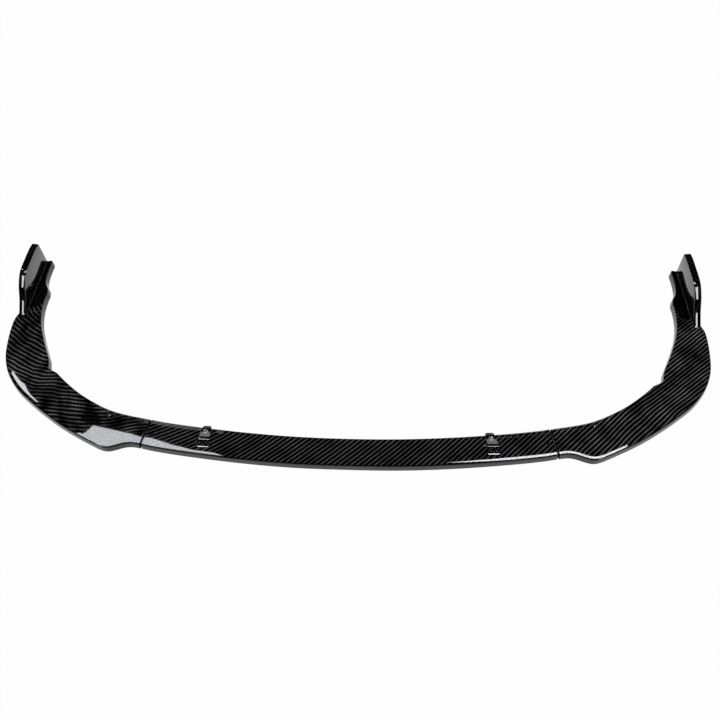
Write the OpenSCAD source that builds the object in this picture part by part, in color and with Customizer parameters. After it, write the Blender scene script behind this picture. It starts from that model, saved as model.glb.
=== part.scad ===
// Front splitter lip for a passenger car, in three moulded sections that butt at two seams.
// The blade lies flat on its lower edges. Its front edge faces -Y and its arms reach back along +Y.
// All sizes are in millimetres.

/* [Overall size] */
// Width over the widest part of the two side sections
lip_width = 1820; // [1700:5:1900]
// Depth from the middle of the front edge to the rear tabs
lip_depth = 590; // [540:5:640]

/* [Moulding] */
// Height of the flat upper face above the lower edges
lip_height = 20; // [16:0.5:26]
// Thickness of the moulded skin
skin = 3; // [2:0.1:4]
// Depth of the shallow seats in the upper face for the bracket feet and the seam screws' heads
seat_depth = 0.4; // [0.2:0.1:0.8]
// Clearance round each foot and head in its seat
seat_clear = 0.5; // [0.3:0.1:1]
// How far the front face slopes back from its lower edge to the upper face
nose_slope = 5; // [3:0.5:7]
// Rise of the bead along the rear edge above the flat upper face
rear_bead = 2.2; // [1:0.1:3]
// Thickness of the stiffening ribs under the skin
rib_wall = 2.4; // [1.5:0.1:3]
// Height of the ribs' lower edges above the ground face
rib_lift = 5; // [3:0.5:9]

/* [Side fins] */
// Height of the fin's highest point above the ground face
fin_top = 103; // [85:1:120]
// Thickness of the hollow fin
fin_thick = 18; // [14:0.5:22]
// Lean of the fin in towards the car, in degrees
fin_lean = 2; // [0:0.5:5]
// Radius on the fin's long edges, seen from the side
fin_round = 6; // [3:0.5:10]

/* [Seams] */
// Width of the groove between two sections
seam_gap = 2.6; // [1.5:0.1:4]
// Reach of the side section's tongue under the centre section
tongue_reach = 46; // [35:1:60]
// Width of the tongue
tongue_width = 44; // [36:1:46]
// Thickness of the tongue
tongue_thick = 3; // [2.5:0.1:4]
// Clearance between the tongue and the skin above it
tongue_clear = 0.3; // [0.2:0.05:0.5]

/* [Seam screws] */
// Outer diameter of the thread-forming screws at the seams
seam_screw_d = 4.2; // [3.5:0.1:5]
// Diameter of the seam screw's pan head
seam_head_d = 9; // [7:0.5:11]
// Height of the seam screw's pan head
seam_head_h = 2.6; // [2:0.1:3.5]
// Clearance round the screw in the centre section's hole
seam_screw_clear = 0.5; // [0.3:0.1:0.8]

/* [Bumper screw holes] */
// Diameter of the four holes that take the screws into the car's bumper
mount_d = 5; // [4:0.5:6]
// Outer diameter of the boss round each hole
mount_boss_d = 12; // [9:0.5:15]
// Height of the boss's lower end above the ground face
mount_boss_lift = 4; // [2:0.5:8]
// Diameter of the flat seat round each hole
mount_seat_d = 11; // [8:0.5:14]

/* [Brackets] */
// Distance from the middle plane to each bracket
bracket_x = 353; // [320:1:380]
// Distance from the front edge of the blade to the bracket's foot
bracket_set = 22.4; // [16:0.2:26]
// Turn of the bracket outward from square to the front edge, in degrees
bracket_turn = 4; // [0:1:10]
// Width of the bracket's foot
foot_width = 31; // [26:1:36]
// Length of the flat of the foot
foot_length = 20; // [16:1:26]
// Thickness of the bracket's sheet
sheet = 2.5; // [2:0.1:3]
// Radius inside the bracket's bend
bend_radius = 3; // [2:0.5:4]
// Width of the bend and of the upright's lower end
bend_width = 26; // [22:1:30]
// Width of the bracket's upright at its top
upright_width = 22; // [18:1:26]
// Length of the flat of the upright
upright_length = 34; // [26:1:38]
// Lean of the upright back from the vertical, in degrees
upright_lean = 30; // [10:1:35]
// Slant of the upright towards the middle plane, in degrees
upright_slant = 18; // [0:1:22]
// Distance from the bend to the bolt, up the upright
bolt_rise = 20; // [16:1:24]

/* [Bracket fasteners] */
// Diameter of the bracket's flanged bolt
bolt_d = 5; // [4:0.5:6]
// Clearance round the bolt in the upright
bolt_clear = 0.5; // [0.3:0.1:0.8]
// Diameter of the bolt's flange
flange_d = 13; // [10:0.5:15]
// Distance across the flats of the bolt's head and nut
hex_flats = 8; // [7:0.5:10]
// Height of the bolt's head above the upright
bolt_head_h = 5; // [4:0.5:6]
// Thickness of the nut behind the upright
nut_h = 4; // [3:0.5:5]
// Diameter of the two rivets that hold each foot
rivet_d = 4; // [3:0.2:5]
// Clearance round the rivets in the foot and the skin
rivet_clear = 0.2; // [0.1:0.05:0.4]
// Distance between the two rivets
rivet_pitch = 18; // [14:1:22]
// Diameter of the rivet's two heads
rivet_head_d = 7; // [6:0.2:8]
// Height of each rivet head
rivet_head_h = 1.2; // [1:0.1:2]

/* [Hidden] */
$fn = 40;

drawn_width = 1823;
drawn_depth = 590.6;
sx = lip_width / drawn_width;
sy = lip_depth / drawn_depth;
under = lip_height - skin;
seat_top = lip_height - seat_depth;
seat_floor = skin - seat_depth;
seam_half = seam_gap / 2;

// Each row is one cross-section of the right half: the outer lower edge and the inner lower edge, x and y,
// with y counted back from the middle of the front edge.
centre_rows = [[0, 0, 0, 74.6], [130, 1.8, 128, 77], [260, 10, 256, 85], [390, 23.6, 384, 97.8],
               [470, 34.6, 456, 107.2], [509, 42, 491, 113.4]];
corner_rows = [[509, 42, 491, 113.4], [532, 45.2, 521, 118.6], [551, 42.8, 546, 123.2],
               [570, 36.4, 569, 128.4], [590, 31.8, 592, 134.8], [609, 35.4, 612, 142.6],
               [629, 44.2, 632, 151.8], [661, 59.8, 660, 166.6], [694, 77, 687, 183.4],
               [727, 96.2, 712, 202], [758, 116.6, 736, 222], [791, 139.8, 755, 240]];
step_rows = [[808, 152.8, 767.5, 246], [821, 163, 779, 252.5]];
arm_rows = [[834, 173.5, 781, 264], [849, 187.3, 784.5, 279], [867, 207.4, 793, 298.8],
            [884.7, 232.6, 802, 318], [898, 260.6, 810, 336.5], [907, 293, 818, 357],
            [910.8, 331, 825.5, 378], [911.5, 367, 831, 400], [908.5, 400, 834.5, 423],
            [897, 428, 835.3, 447], [893.3, 455, 834, 468], [889.6, 476.3, 831.5, 484.5]];
tab_rows = [[886.4, 497.3, 834, 499], [883.7, 517.5, 843.5, 517], [880.6, 541.4, 845.5, 541],
            [877, 566.4, 843.5, 567], [874.7, 582.8, 841.2, 583], [874.4, 590.6, 842.6, 590.6]];

// The fin stands on a straight line between these two points of the upper face, inner side.
fin_front = [878.2, 424];
fin_rear = [858.5, 590.6];
// Its outline seen from the side: distance along that line, and share of the rise above the blade.
fin_line = [[-42, -0.03], [-30, 0.04], [-20, 0.08], [-12, 0.13], [-3, 0.21], [8, 0.33], [28, 0.6],
            [44, 0.8], [58, 0.93], [76, 0.99], [104, 1], [130, 0.98], [150, 0.93], [161, 0.87], [168, 0]];
fin_run = 168;

// Where the bumper screws and the seam screw stand on the right half
mount_side = [599.5, 122];
mount_arm = [838, 397];
seam_screw_at = [484, 72.8];

function place(x, y) = [x * sx, y * sy - lip_depth / 2];
function scaled(r) = concat(place(r[0], r[1]), place(r[2], r[3]));
function mirrored(r) = [-r[0], r[1], -r[2], r[3]];
function backwards(v) = [for (i = [len(v) - 1:-1:0]) v[i]];
function outer_end(r) = [r[0], r[1]];
function inner_end(r) = [r[2], r[3]];

// A smooth curve through the rows, n steps between two rows
function blend(a, b, c, d, t) =
    0.5 * (2 * b + (c - a) * t + (2 * a - 5 * b + 4 * c - d) * t * t + (3 * b - a - 3 * c + d) * t * t * t);
function smooth(v, n) = concat(
    [for (i = [0:len(v) - 2], k = [0:n - 1])
        blend(v[max(i - 1, 0)], v[i], v[i + 1], v[min(i + 2, len(v) - 1)], k / n)],
    [v[len(v) - 1]]);

// The first row of a section, set back from the seam by half of the groove
function set_back(r, s) = [r[0] + s, r[1], r[2] + s, r[3]];

centre_half = [for (i = [0:len(centre_rows) - 1]) scaled(
    i < len(centre_rows) - 1 ? centre_rows[i] : set_back(centre_rows[i], -seam_half))];
centre_all = concat([for (i = [len(centre_half) - 1:-1:1]) mirrored(centre_half[i])], centre_half);
centre_line = smooth(centre_all, 3);
corner_line = smooth([for (i = [0:len(corner_rows) - 1]) scaled(
    i > 0 ? corner_rows[i] : set_back(corner_rows[i], seam_half))], 2);
arm_line = smooth([for (r = arm_rows) scaled(r)], 2);
tab_line = smooth([for (r = tab_rows) scaled(r)], 2);
side_line = concat(corner_line, [for (r = step_rows) scaled(r)], arm_line, tab_line);

// The skin's section in its own plane: distance from the outer edge, and height
function skin_outside(w) = [
    [0, 0], [0.3 * nose_slope, 0.3 * lip_height], [0.65 * nose_slope, 0.62 * lip_height],
    [nose_slope, lip_height - 3], [nose_slope + 1.7, lip_height - 0.8], [nose_slope + 4.4, lip_height],
    [w - 16, lip_height], [w - 9, lip_height + 0.45 * rear_bead], [w - 4, lip_height + rear_bead],
    [w - 1.6, lip_height + 0.6 * rear_bead], [w - 0.8, lip_height - 2], [w, 0]];
function skin_inside(w) = [
    [skin, 0], [skin + 0.3 * nose_slope, 0.3 * lip_height], [skin + 0.6 * nose_slope, 0.55 * under],
    [skin + 0.8 * nose_slope, 0.8 * under], [skin + nose_slope + 0.6, 0.96 * under],
    [skin + nose_slope + 3, under], [w - 19, under], [w - 14, under], [w - 9, under],
    [w - skin - 3, under - 0.4], [w - skin - 0.9, under - 3], [w - skin, 0]];
function ring(r) = let(
    a = outer_end(r), b = inner_end(r), w = norm(b - a), d = (b - a) / w,
    pts = concat(skin_outside(w), backwards(skin_inside(w))))
    [for (p = pts) [a[0] + d[0] * p[0], a[1] + d[1] * p[0], p[1]]];

// A moulded shell, open below, through all rows of a line
module shell(line) {
    m = 24;
    last = (len(line) - 1) * m;
    points = [for (r = line) each ring(r)];
    sides = [for (i = [0:len(line) - 2], j = [0:m - 1]) let(
        p = i * m + j, q = i * m + (j + 1) % m, s = p + m, t = q + m) each [[p, q, t], [p, t, s]]];
    ends = [for (j = [0:m / 2 - 2]) each [
        [j, m - 1 - j, m - 2 - j, j + 1], [last + j, last + j + 1, last + m - 2 - j, last + m - 1 - j]]];
    polyhedron(points = points, faces = concat(sides, ends), convexity = 8);
}

// A stiffening rib across the hollow below one row
module rib(r) {
    a = outer_end(r);
    b = inner_end(r);
    w = norm(b - a);
    from = skin + nose_slope - 1;
    translate([a[0], a[1], rib_lift])
        rotate(atan2(b[1] - a[1], b[0] - a[0]))
            translate([from, -rib_wall / 2, 0])
                cube([w - from - skin, rib_wall, under - rib_lift + 0.5]);
}

module at(p, z = 0) translate([place(p[0], p[1])[0], place(p[0], p[1])[1], z]) children();

// The seat for one bracket's foot and bend, and the rivet holes through its floor
module bracket_seat(side) bracket_frame(side) {
    translate([-foot_width / 2 - seat_clear, -seat_clear, 0])
        cube([foot_width + 2 * seat_clear, foot_length + bend_radius + sheet + 2 * seat_clear, 10]);
    for (s = [-1, 1])
        translate([s * rivet_pitch / 2, foot_length / 2, -skin - 1])
            cylinder(d = rivet_d + 2 * rivet_clear, h = skin + 2);
}

module centre_section() color([0.06, 0.06, 0.065]) {
    difference() {
        union() {
            shell(centre_line);
            // The outermost two ribs stand clear of the side sections' tongues
            for (i = [4, 8, 12, 15, 18, 22, 26]) rib(centre_line[i]);
        }
        for (side = [-1, 1]) {
            bracket_seat(side);
            at([side * seam_screw_at[0], seam_screw_at[1]], under - 1)
                cylinder(d = seam_screw_d + 2 * seam_screw_clear, h = skin + 5);
            at([side * seam_screw_at[0], seam_screw_at[1]], seat_top)
                cylinder(d = seam_head_d + 2 * seat_clear, h = 10);
        }
    }
}

// The fin: a hollow plate seen from the side, drawn along its foot line and turned upright
function fin_turn() = let(a = place(fin_front[0], fin_front[1]), b = place(fin_rear[0], fin_rear[1]))
    atan2(b[1] - a[1], b[0] - a[0]);
function fin_points() = [for (p = fin_line) [p[0] * sy, lip_height + p[1] * (fin_top - lip_height)]];
module fin_outline() offset(r = fin_round) offset(delta = -fin_round)
    polygon(concat([[fin_line[0][0] * sy, 0]], fin_points(), [[fin_run * sy, 0]]));
module fin_side() union() {
    fin_outline();
    square([fin_run * sy, lip_height * 0.8]);
}
module fin_frame() at(fin_front) rotate(fin_turn()) rotate([90 - fin_lean, 0, 0]) children();
module fin_body() intersection() {
    fin_frame() linear_extrude(fin_thick) fin_side();
    translate([0, 0, -1]) cube([lip_width, lip_depth / 2, fin_top + 10]);
}
module fin_hollow() intersection() {
    fin_frame() translate([0, 0, skin]) linear_extrude(fin_thick - 2 * skin) offset(delta = -skin) union() {
        fin_side();
        translate([fin_line[0][0] * sy, -20]) square([(fin_run - fin_line[0][0]) * sy, 30]);
    }
    translate([0, 0, -1]) cube([lip_width, lip_depth / 2 - skin, fin_top + 10]);
}

// The tongue that reaches under the centre section, and its screw boss
module tongue() {
    r = scaled(corner_rows[0]);
    a = outer_end(r);
    b = inner_end(r);
    w = norm(b - a);
    turn = atan2(b[1] - a[1], b[0] - a[0]) - 90;
    z = under - tongue_clear - tongue_thick;
    translate([(a[0] + b[0]) / 2, (a[1] + b[1]) / 2, z]) rotate(turn) {
        translate([-tongue_reach, -tongue_width / 2, 0])
            cube([tongue_reach + 26, tongue_width, tongue_thick]);
        translate([seam_half + 1.5, -tongue_width / 2, 0]) cube([24.5, tongue_width, tongue_thick + 1]);
    }
    at(seam_screw_at, rib_lift) cylinder(d = seam_screw_d + 6, h = z - rib_lift + 1);
}

module side_section() difference() {
    union() {
        difference() {
            union() {
                shell(side_line);
                fin_body();
            }
            fin_hollow();
        }
        tongue();
        for (i = [5, 11, 17, 24, 31, 36, 41]) rib(side_line[i]);
        for (p = [mount_side, mount_arm])
            at(p, mount_boss_lift) cylinder(d = mount_boss_d, h = under - mount_boss_lift + 0.5);
    }
    for (p = [mount_side, mount_arm]) {
        at(p, -1) cylinder(d = mount_d, h = lip_height + 10);
        at(p, lip_height) cylinder(d = mount_seat_d, h = 10);
    }
    at(seam_screw_at, -1) cylinder(d = seam_screw_d + 0.2, h = lip_height + 2);
}
module right_section() color([0.06, 0.06, 0.065]) side_section();
module left_section() color([0.06, 0.06, 0.065]) mirror([1, 0, 0]) side_section();

// A frame on the seat's floor at the bracket, nearly square to the front edge, with y from the foot's front end
function front_at(t) = let(
    before = [for (r = centre_half) if (r[0] <= t) r],
    a = before[len(before) - 1], b = centre_half[len(before)])
    a[1] + (b[1] - a[1]) * (t - a[0]) / (b[0] - a[0]);
module bracket_frame(side) mirror([side < 0 ? 1 : 0, 0, 0])
    translate([bracket_x * sx, front_at(bracket_x * sx) + bracket_set, seat_top])
        rotate(atan2(front_at(bracket_x * sx + 10) - front_at(bracket_x * sx - 10), 20) - bracket_turn)
            children();

// A strip of sheet seen from the side: the foot's end, the bend and the upright
function arc(r, n) = [for (i = [0:n]) let(t = -90 + (90 - upright_lean) * i / n)
    [foot_length + r * cos(t), sheet + bend_radius + r * sin(t)]];
function along_upright(d) = [d * sin(upright_lean), d * cos(upright_lean)];
module bent_strip() {
    outside = arc(bend_radius + sheet, 8);
    inside = arc(bend_radius, 8);
    rise = along_upright(upright_length);
    translate([-foot_width, 0, 0]) rotate([90, 0, 90]) linear_extrude(2 * foot_width) polygon(concat(
        [[4, 0]], outside, [outside[8] + rise, inside[8] + rise], backwards(inside), [[4, sheet]]));
}
// The middle of the upright at a height above the bend, and the waste beside it on one side
function slanted(d) = -d * tan(upright_slant);
module beside(s) translate([0, 0, -1]) linear_extrude(foot_length + bend_radius + 2 * sheet) polygon([
    [s * bend_width / 2, -foot_length - 10], [s * bend_width / 2, 0],
    [slanted(upright_length + 1) + s * upright_width / 2, upright_length + 1],
    [s * foot_width * 1.5, upright_length + 1], [s * foot_width * 1.5, -foot_length - 10]]);
module rounded_corner(r) difference() {
    cube([r + 1, r + 1, sheet + 2]);
    translate([0, 0, -1]) cylinder(r = r, h = sheet + 4);
}
module foot() difference() {
    translate([-foot_width / 2, 0, 0]) cube([foot_width, foot_length - 2, sheet]);
    for (s = [-1, 1])
        mirror([s < 0 ? 1 : 0, 0, 0]) translate([foot_width / 2 - 4, 4, -1]) rotate(-90) rounded_corner(4);
}
module bracket(side) bracket_frame(side) difference() {
    union() {
        foot();
        difference() {
            bent_strip();
            upright_frame() for (s = [-1, 1]) beside(s);
        }
    }
    for (s = [-1, 1])
        translate([s * rivet_pitch / 2, foot_length / 2, -1])
            cylinder(d = rivet_d + 2 * rivet_clear, h = sheet + 2);
    upright_frame() {
        bolt_place() translate([0, 0, -1]) cylinder(d = bolt_d + 2 * bolt_clear, h = sheet + 2);
        for (s = [-1, 1])
            translate([slanted(upright_length), 0, 0]) mirror([s < 0 ? 1 : 0, 0, 0])
                translate([upright_width / 2 - 5, upright_length - 5, -1]) rounded_corner(5);
    }
}
// The upright's own plane: x across, y up along the upright, z out of its front face, zero on its rear face
module upright_frame() translate([0, foot_length, sheet + bend_radius]) rotate([90 - upright_lean, 0, 0])
    translate([0, 0, -bend_radius - sheet]) children();
module bolt_place() translate([slanted(bolt_rise), bolt_rise, 0]) children();

module right_bracket() color([0.05, 0.05, 0.05]) bracket(1);
module left_bracket() color([0.05, 0.05, 0.05]) bracket(-1);

module hexagon(h) cylinder(d = hex_flats / cos(30), h = h, $fn = 6);
module bolt(side) bracket_frame(side) upright_frame() bolt_place() {
    translate([0, 0, sheet]) cylinder(d = flange_d, h = 1);
    translate([0, 0, sheet + 0.5]) cylinder(d1 = flange_d - 1, d2 = hex_flats, h = 1.6);
    translate([0, 0, sheet]) intersection() {
        hexagon(bolt_head_h);
        cylinder(d1 = hex_flats + 8, d2 = hex_flats - 0.4, h = bolt_head_h + 0.6);
    }
    translate([0, 0, -nut_h - 5]) cylinder(d = bolt_d, h = nut_h + sheet + 6);
}
module right_bracket_bolt() color([0.3, 0.3, 0.31]) bolt(1);
module left_bracket_bolt() color([0.3, 0.3, 0.31]) bolt(-1);

module nut(side) bracket_frame(side) upright_frame() bolt_place() translate([0, 0, -nut_h]) difference() {
    union() {
        hexagon(nut_h);
        translate([0, 0, nut_h - 1]) cylinder(d = flange_d - 2, h = 1);
    }
    translate([0, 0, -1]) cylinder(d = bolt_d + 0.1, h = nut_h + 2);
}
module right_bracket_nut() color([0.3, 0.3, 0.31]) nut(1);
module left_bracket_nut() color([0.3, 0.3, 0.31]) nut(-1);

module rivets(side) bracket_frame(side) for (s = [-1, 1])
    translate([s * rivet_pitch / 2, foot_length / 2, 0]) {
    translate([0, 0, sheet]) cylinder(d1 = rivet_head_d, d2 = rivet_d, h = rivet_head_h);
    translate([0, 0, -seat_floor - rivet_head_h]) {
        cylinder(d = rivet_d, h = seat_floor + sheet + 2 * rivet_head_h);
        cylinder(d = rivet_head_d, h = rivet_head_h);
    }
}
module right_bracket_rivets() color([0.1, 0.1, 0.1]) rivets(1);
module left_bracket_rivets() color([0.1, 0.1, 0.1]) rivets(-1);

module seam_screw() at(seam_screw_at) {
    translate([0, 0, seat_top]) cylinder(d1 = seam_head_d, d2 = seam_head_d - 3, h = seam_head_h);
    translate([0, 0, rib_lift + 1]) cylinder(d = seam_screw_d, h = seat_top - rib_lift);
}
module right_seam_screw() color([0.75, 0.75, 0.76]) seam_screw();
module left_seam_screw() color([0.75, 0.75, 0.76]) mirror([1, 0, 0]) seam_screw();

centre_section();
left_section();
right_section();
left_bracket();
right_bracket();
left_bracket_bolt();
right_bracket_bolt();
left_bracket_nut();
right_bracket_nut();
left_bracket_rivets();
right_bracket_rivets();
left_seam_screw();
right_seam_screw();
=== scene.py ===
"""A front splitter lip in gloss carbon weave.

Three moulded sections with two fins, two bent brackets and their fasteners. Lengths in this file are
millimetres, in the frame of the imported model, until a mesh is made.
"""

import math

import bpy
import numpy as np
from mathutils import Matrix, Vector


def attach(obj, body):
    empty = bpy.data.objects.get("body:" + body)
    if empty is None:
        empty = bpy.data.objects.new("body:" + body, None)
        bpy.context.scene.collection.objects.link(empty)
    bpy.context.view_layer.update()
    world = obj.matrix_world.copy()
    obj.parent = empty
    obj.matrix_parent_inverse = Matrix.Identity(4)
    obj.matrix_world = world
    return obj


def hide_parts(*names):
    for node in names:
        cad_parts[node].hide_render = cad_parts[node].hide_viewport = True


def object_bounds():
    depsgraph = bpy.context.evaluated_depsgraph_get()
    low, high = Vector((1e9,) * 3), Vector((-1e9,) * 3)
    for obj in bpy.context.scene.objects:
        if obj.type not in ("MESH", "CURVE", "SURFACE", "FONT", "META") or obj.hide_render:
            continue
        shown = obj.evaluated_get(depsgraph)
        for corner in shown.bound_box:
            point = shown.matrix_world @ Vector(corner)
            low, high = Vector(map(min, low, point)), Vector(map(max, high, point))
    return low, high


MM = 0.001
QUARTER, FULL = math.pi / 2, 2 * math.pi

# Sizes of the moulded sections
LIP_WIDTH, LIP_DEPTH, LIP_HEIGHT = 1820.0, 590.0, 20.0
DRAWN_WIDTH, DRAWN_DEPTH = 1823.0, 590.6
SKIN = 3.0
UNDER = LIP_HEIGHT - SKIN
NOSE_SLOPE = 5.0
RIB_WALL, RIB_LIFT, RIB_SINK = 2.4, 5.0, 0.5
SEAM_HALF, SEAM_ROUND = 1.3, 1.5
SCREW_HOLES, SCREW_HOLE_RADIUS = ((599.5, 122.0), (838.0, 397.0)), 2.5
SEAM_SCREW, SCREW_RADIUS = (484.0, 72.8), 2.1
BOSS_RADIUS = 6.0
TONGUE_REACH, TONGUE_BEHIND, TONGUE_WIDTH = 46.0, 26.0, 44.0
TONGUE_THICK, TONGUE_CLEAR = 3.0, 0.3
FLANGE_THICK, FLANGE_CLEAR, FLANGE_REACH = 1.8, 0.35, 7.0

# The nose's section from the flat down: distance along it and its tilt in degrees, then a straight front
FRONT_TILT, FRONT_TOE = 82.0, 1.2
NOSE_TILTS = ((0, 0), (0.8, 2.4), (6.0, 5.4), (6.4, 10), (9.6, 60), (11.6, 76), (14, FRONT_TILT))

# The bead along the rear edge: its foot's distance from that edge, its slope and its height
BEAD_RUN, BEAD_RAMP, BEAD_RISE = 10.2, 0.325, 2.2

# Sizes of the fin, which stands on a line between two drawn points
FIN_TOP, FIN_THICK, FIN_LEAN = 103.0, 18.0, math.radians(2)
FIN_FRONT, FIN_REAR, FIN_RUN = (878.2, 424.0), (858.5, 590.6), 168.0
FIN_INNER_RIM, FIN_OUTER_RIM, FIN_DOME, FIN_FILLET = 1.3, 1.2, 0.35, 2.2

# Sizes of the brackets and their fasteners
BRACKET_X, BRACKET_SET, BRACKET_TURN = 353.0, 22.4, math.radians(4)
FOOT_WIDTH, FOOT_LENGTH, FOOT_CORNER = 31.0, 20.0, 4.0
FOOT_EASE, FOOT_EASE_SLOPE = 0.8, 0.07
SHEET, BEND_RADIUS, BEND_WIDTH, NECK_ROUND = 2.5, 3.0, 26.0, 1.6
UPRIGHT_WIDTH, UPRIGHT_LENGTH, UPRIGHT_CORNER = 22.0, 34.0, 5.0
UPRIGHT_LEAN, UPRIGHT_SLANT = math.radians(30), math.radians(18)
SEAT_DEPTH = 0.4
SEAT_TOP = LIP_HEIGHT - SEAT_DEPTH
BOLT_RISE, BOLT_FLANGE, BOLT_REACH, HEX_FLATS = 20.0, 6.5, 9.0, 8.0
THREAD_CREST, THREAD_ROOT, THREAD_PITCH = 2.46, 2.2, 0.8
NUT_BORE, NUT_FLANGE, NUT_THICK = 2.55, 5.5, 4.0
RIVET_SIDE, RIVET_RADIUS, RIVET_HEAD = 9.0, 2.0, 3.5

# Rows across the right half: outer and inner lower edge, x and y, y counted back from the front
CENTRE_ROWS = [(0, 0, 0, 74.6), (130, 1.8, 128, 77), (260, 10, 256, 85), (390, 23.6, 384, 97.8),
               (470, 34.6, 456, 107.2), (509, 42, 491, 113.4)]
CORNER_ROWS = [(509, 42, 491, 113.4), (532, 45.2, 521, 118.6), (551, 42.8, 546, 123.2),
               (570, 36.4, 569, 128.4), (590, 31.8, 592, 134.8), (609, 35.4, 612, 142.6),
               (629, 44.2, 632, 151.8), (661, 59.8, 660, 166.6), (694, 77, 687, 183.4),
               (727, 96.2, 712, 202), (758, 116.6, 736, 222), (791, 139.8, 755, 240)]
STEP_ROWS = [(808, 152.8, 767.5, 246), (821, 163, 779, 252.5)]
ARM_ROWS = [(834, 173.5, 781, 264), (849, 187.3, 784.5, 279), (867, 207.4, 793, 298.8),
            (884.7, 232.6, 802, 318), (898, 260.6, 810, 336.5), (907, 293, 818, 357),
            (910.8, 331, 825.5, 378), (911.5, 367, 831, 400), (908.5, 400, 834.5, 423),
            (897, 428, 835.3, 447), (893.3, 455, 834, 468), (889.6, 476.3, 831.5, 484.5)]
TAB_ROWS = [(886.4, 497.3, 834, 499), (883.7, 517.5, 843.5, 517), (880.6, 541.4, 845.5, 541),
            (877, 566.4, 843.5, 567), (874.7, 582.8, 841.2, 583), (874.4, 590.6, 842.6, 590.6)]

# Ribs under the skin, as shares of the way along a section
CENTRE_RIBS = [k / 30 for k in (4, 8, 12, 15, 18, 22, 26)]
SIDE_RIBS = [k / 58 for k in (5, 11, 17, 24, 31, 36, 41)]

# The fin seen from the side: distance along its foot, share of its rise above the blade
FIN_LINE = [(-60, -0.06), (-46, -0.05), (-30, -0.035), (-16, -0.02), (-9, 0.012), (-3, 0.08), (5, 0.175),
            (12, 0.26), (18, 0.337), (24, 0.437), (31, 0.555), (38, 0.668), (44, 0.74), (51, 0.818),
            (58, 0.884), (65, 0.935), (76, 0.982), (90, 1), (104, 1), (130, 1), (150, 0.985), (161, 0.95)]

# Angle of the weave's lines in degrees: against the part's width by x, and against the left arm by its length
WEAVE_ANGLE = math.radians(44.5)
CENTRE_TURN = ((-520, 22.0), (-430, 25.0), (-340, 31.0), (-272, 36.0), (-210, 38.5), (-113, 39.5),
               (0, 41.0), (176, 43.5), (271, 45.0), (520, 44.5))
LEFT_TURN = ((0, 16.0), (120, 21.0), (254, 28.0), (348, 30.0), (396, 32.0), (448, 35.0), (506, 38.0),
             (620, 41.0))
CENTRE_FILM_MIDDLE = 225.0
ARM_STRETCH, ARM_STRETCH_FROM = 0.2, -130.0

# Front edge of the painted shade on the tab beside the fin, where the fin's dark mirror image falls, x and y,
# and how sharply the weave ends there
FIN_SHADE = [(833, 195), (834.5, 175), (836.5, 166), (839, 159.5), (843.5, 151), (848, 146.8), (854, 143.8),
            (864, 141.8), (873, 141), (884, 141), (895, 141)]
FIN_SHADE_SLOPE = [(833, 0.15), (836, 0.25), (840, 0.5), (848, 0.75), (856, 1), (870, 1)]
FIN_SHADE_FROM, FIN_SHADE_FADE = 830.0, 0.94
# How far painted shade darkens the weave on the nose's front face and on the fin
NOSE_SHADE, FIN_WEAVE_SHADE = 0.78, 0.8

# Places of the finishes in a section's list
WEAVE, UNDERSIDE, CUT_EDGE, GLOSS_BLACK, STEEL, JOINT = range(6)
SHARP_EDGE = math.radians(38)


def place(x, y):
    """A drawn point in the part's own frame."""
    return np.array([x * LIP_WIDTH / DRAWN_WIDTH, y * LIP_DEPTH / DRAWN_DEPTH - LIP_DEPTH / 2])


def placed_row(row):
    return [*place(row[0], row[1]), *place(row[2], row[3])]


def smooth_rows(rows, steps):
    """A smooth curve through the rows, with this many steps between two rows."""
    rows = np.array(rows, float)
    out = []
    for i in range(len(rows) - 1):
        a, b, c, d = rows[max(i - 1, 0)], rows[i], rows[i + 1], rows[min(i + 2, len(rows) - 1)]
        for k in range(steps):
            t = k / steps
            out.append(0.5 * (2 * b + (c - a) * t + (2 * a - 5 * b + 4 * c - d) * t * t
                              + (3 * b - a - 3 * c + d) * t ** 3))
    out.append(rows[-1])
    return np.array(out)


def straight_rows(first, last, steps):
    """Rows between two others, without those."""
    t = np.linspace(0, 1, steps + 1)[1:-1, None]
    return np.array(first) * (1 - t) + np.array(last) * t


def bend(p0, p1, p2, steps):
    """A rounded corner from p0 to p2 with its corner at p1."""
    t = np.linspace(0, 1, steps + 1)[:, None]
    return (1 - t) ** 2 * np.array(p0) + 2 * t * (1 - t) * np.array(p1) + t ** 2 * np.array(p2)


def looked_up(table, at):
    """The second value of a table's pairs at a place between them."""
    return np.interp(at, [pair[0] for pair in table], [pair[1] for pair in table])


def centre_line():
    """Rows of the centre section from the left seam to the right one."""
    half = [placed_row(row) for row in CENTRE_ROWS]
    half[-1][0] -= SEAM_HALF
    half[-1][2] -= SEAM_HALF
    other = [[-row[0], row[1], -row[2], row[3]] for row in half[:0:-1]]
    return smooth_rows(other + half, 14)


def side_line():
    """Rows of the right section from the seam over the corner, the step and the arm to the tab's end."""
    corner = [placed_row(row) for row in CORNER_ROWS]
    corner[0][0] += SEAM_HALF
    corner[0][2] += SEAM_HALF
    corner = smooth_rows(corner, 7)
    step = np.array([placed_row(row) for row in STEP_ROWS])
    arm = smooth_rows([placed_row(row) for row in ARM_ROWS], 7)
    tab = smooth_rows([placed_row(row) for row in TAB_ROWS], 5)
    return np.vstack([corner, straight_rows(corner[-1], step[0], 3), step[:1],
                      straight_rows(step[0], step[1], 3), step[1:], straight_rows(step[1], arm[0], 3),
                      arm, straight_rows(arm[-1], tab[0], 4), tab])


def row_frame(row):
    """Where a row starts, its direction from the front to the rear edge, and its width."""
    start, end = np.array(row[:2]), np.array(row[2:])
    width = np.linalg.norm(end - start)
    return start, (end - start) / width, width


def stood_on_row(start, direction, section):
    """Points of a section that stands upright along a row."""
    return np.column_stack([start[0] + direction[0] * section[:, 0], start[1] + direction[1] * section[:, 0],
                            section[:, 1]])


def length_along(line):
    """Length along the middle of the rows, at each row."""
    middle = (line[:, :2] + line[:, 2:]) / 2
    return np.concatenate([[0], np.cumsum(np.hypot(*np.diff(middle, axis=0).T))])


# Sections of the moulded skin


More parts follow.
